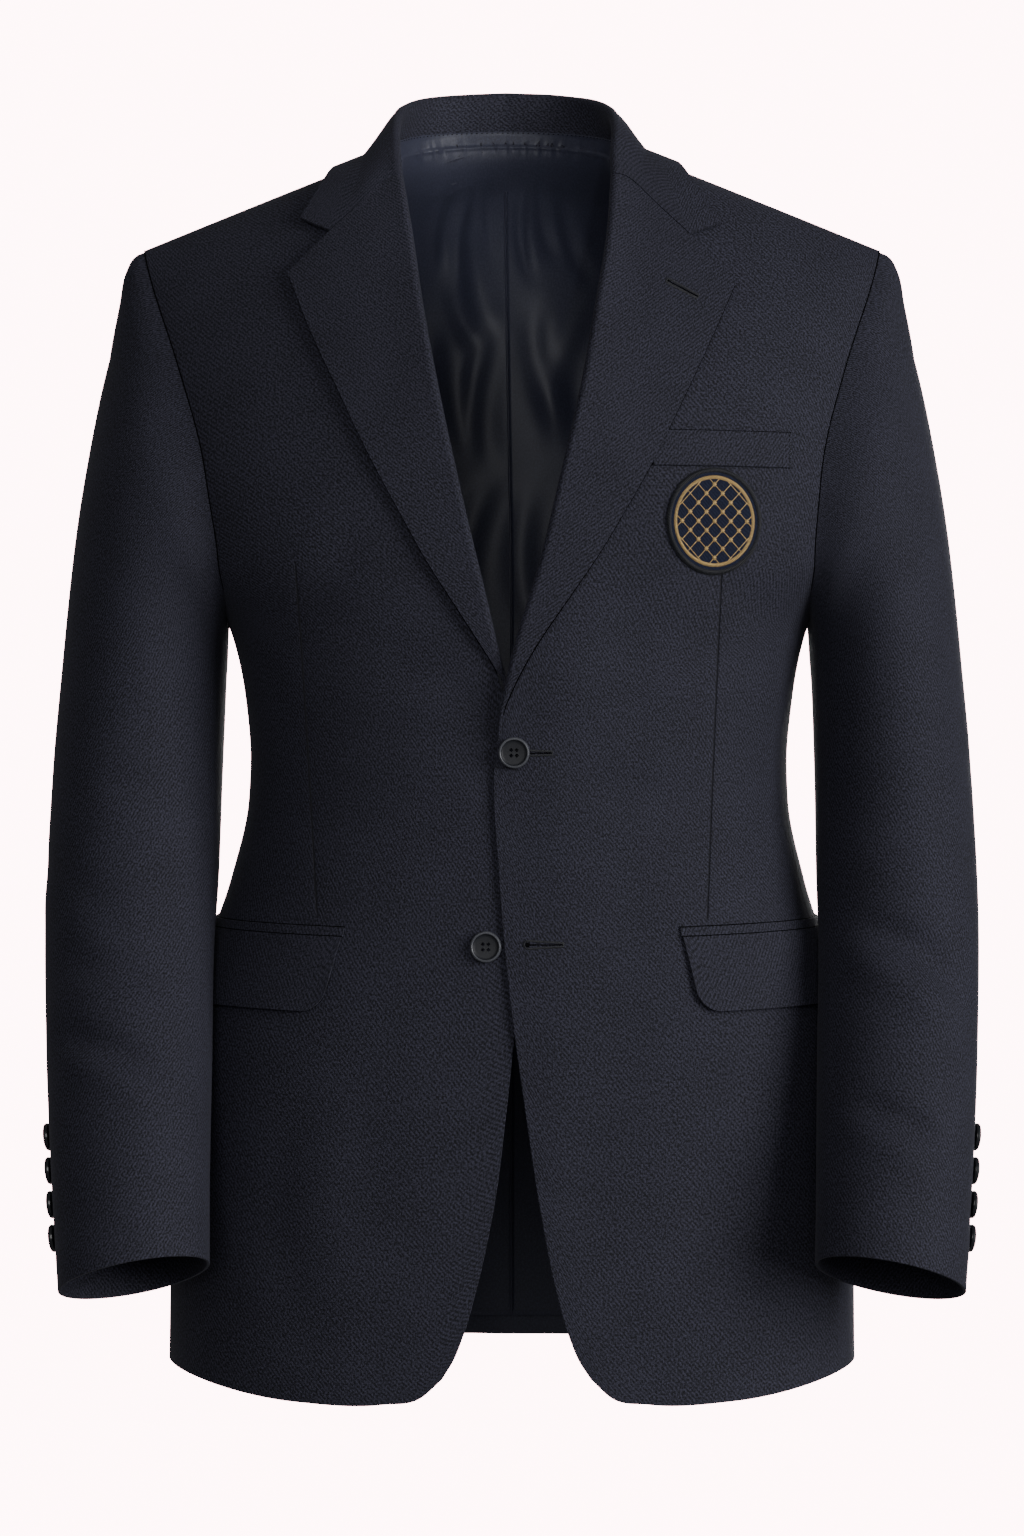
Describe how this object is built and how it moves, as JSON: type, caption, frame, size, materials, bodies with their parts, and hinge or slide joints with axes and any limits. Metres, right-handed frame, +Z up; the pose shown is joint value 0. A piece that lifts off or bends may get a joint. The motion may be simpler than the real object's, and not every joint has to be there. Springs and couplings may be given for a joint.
{
  "type": "blazer",
  "caption": "Single-breasted wool blazer with notch lapels, keeping its worn shape with nobody in it: open neck, sleeves, front cutaway and hem, flap pockets and an oval chest patch.",
  "frame": {"origin": "midway between the two points where the shoulder seams meet the neck seam, where a wearer carries the blazer", "axes": "+Z up; the wearer faces -Y, so +X is the wearer's left and +Y is behind"},
  "size_m": [0.5768, 0.2957, 0.8194],
  "materials": {
    "wool": "dark navy wool twill",
    "lining": "dark blue satin lining",
    "felt": "navy felt",
    "horn": "polished near-black button"
  },
  "bodies": {
    "root": {"front_left": "wool", "front_right": "wool", "side_left": "wool", "side_right": "wool", "back_left": "wool", "back_right": "wool", "top_sleeve_left": "wool", "top_sleeve_right": "wool", "under_sleeve_left": "wool", "under_sleeve_right": "wool", "lapel_left": "wool", "lapel_right": "wool", "collar": "wool", "pocket_flap_left": "wool", "pocket_flap_right": "wool", "pocket_jet_left": "wool", "pocket_jet_right": "wool", "breast_welt": "wool", "chest_patch": "felt", "lining_left": "lining", "lining_right": "lining", "neck_band": "lining", "front_button_1": "horn", "front_button_2": "horn", "cuff_button_left_1": "horn", "cuff_button_left_2": "horn", "cuff_button_left_3": "horn", "cuff_button_left_4": "horn", "cuff_button_right_1": "horn", "cuff_button_right_2": "horn", "cuff_button_right_3": "horn", "cuff_button_right_4": "horn"}
  },
  "joints": []
}
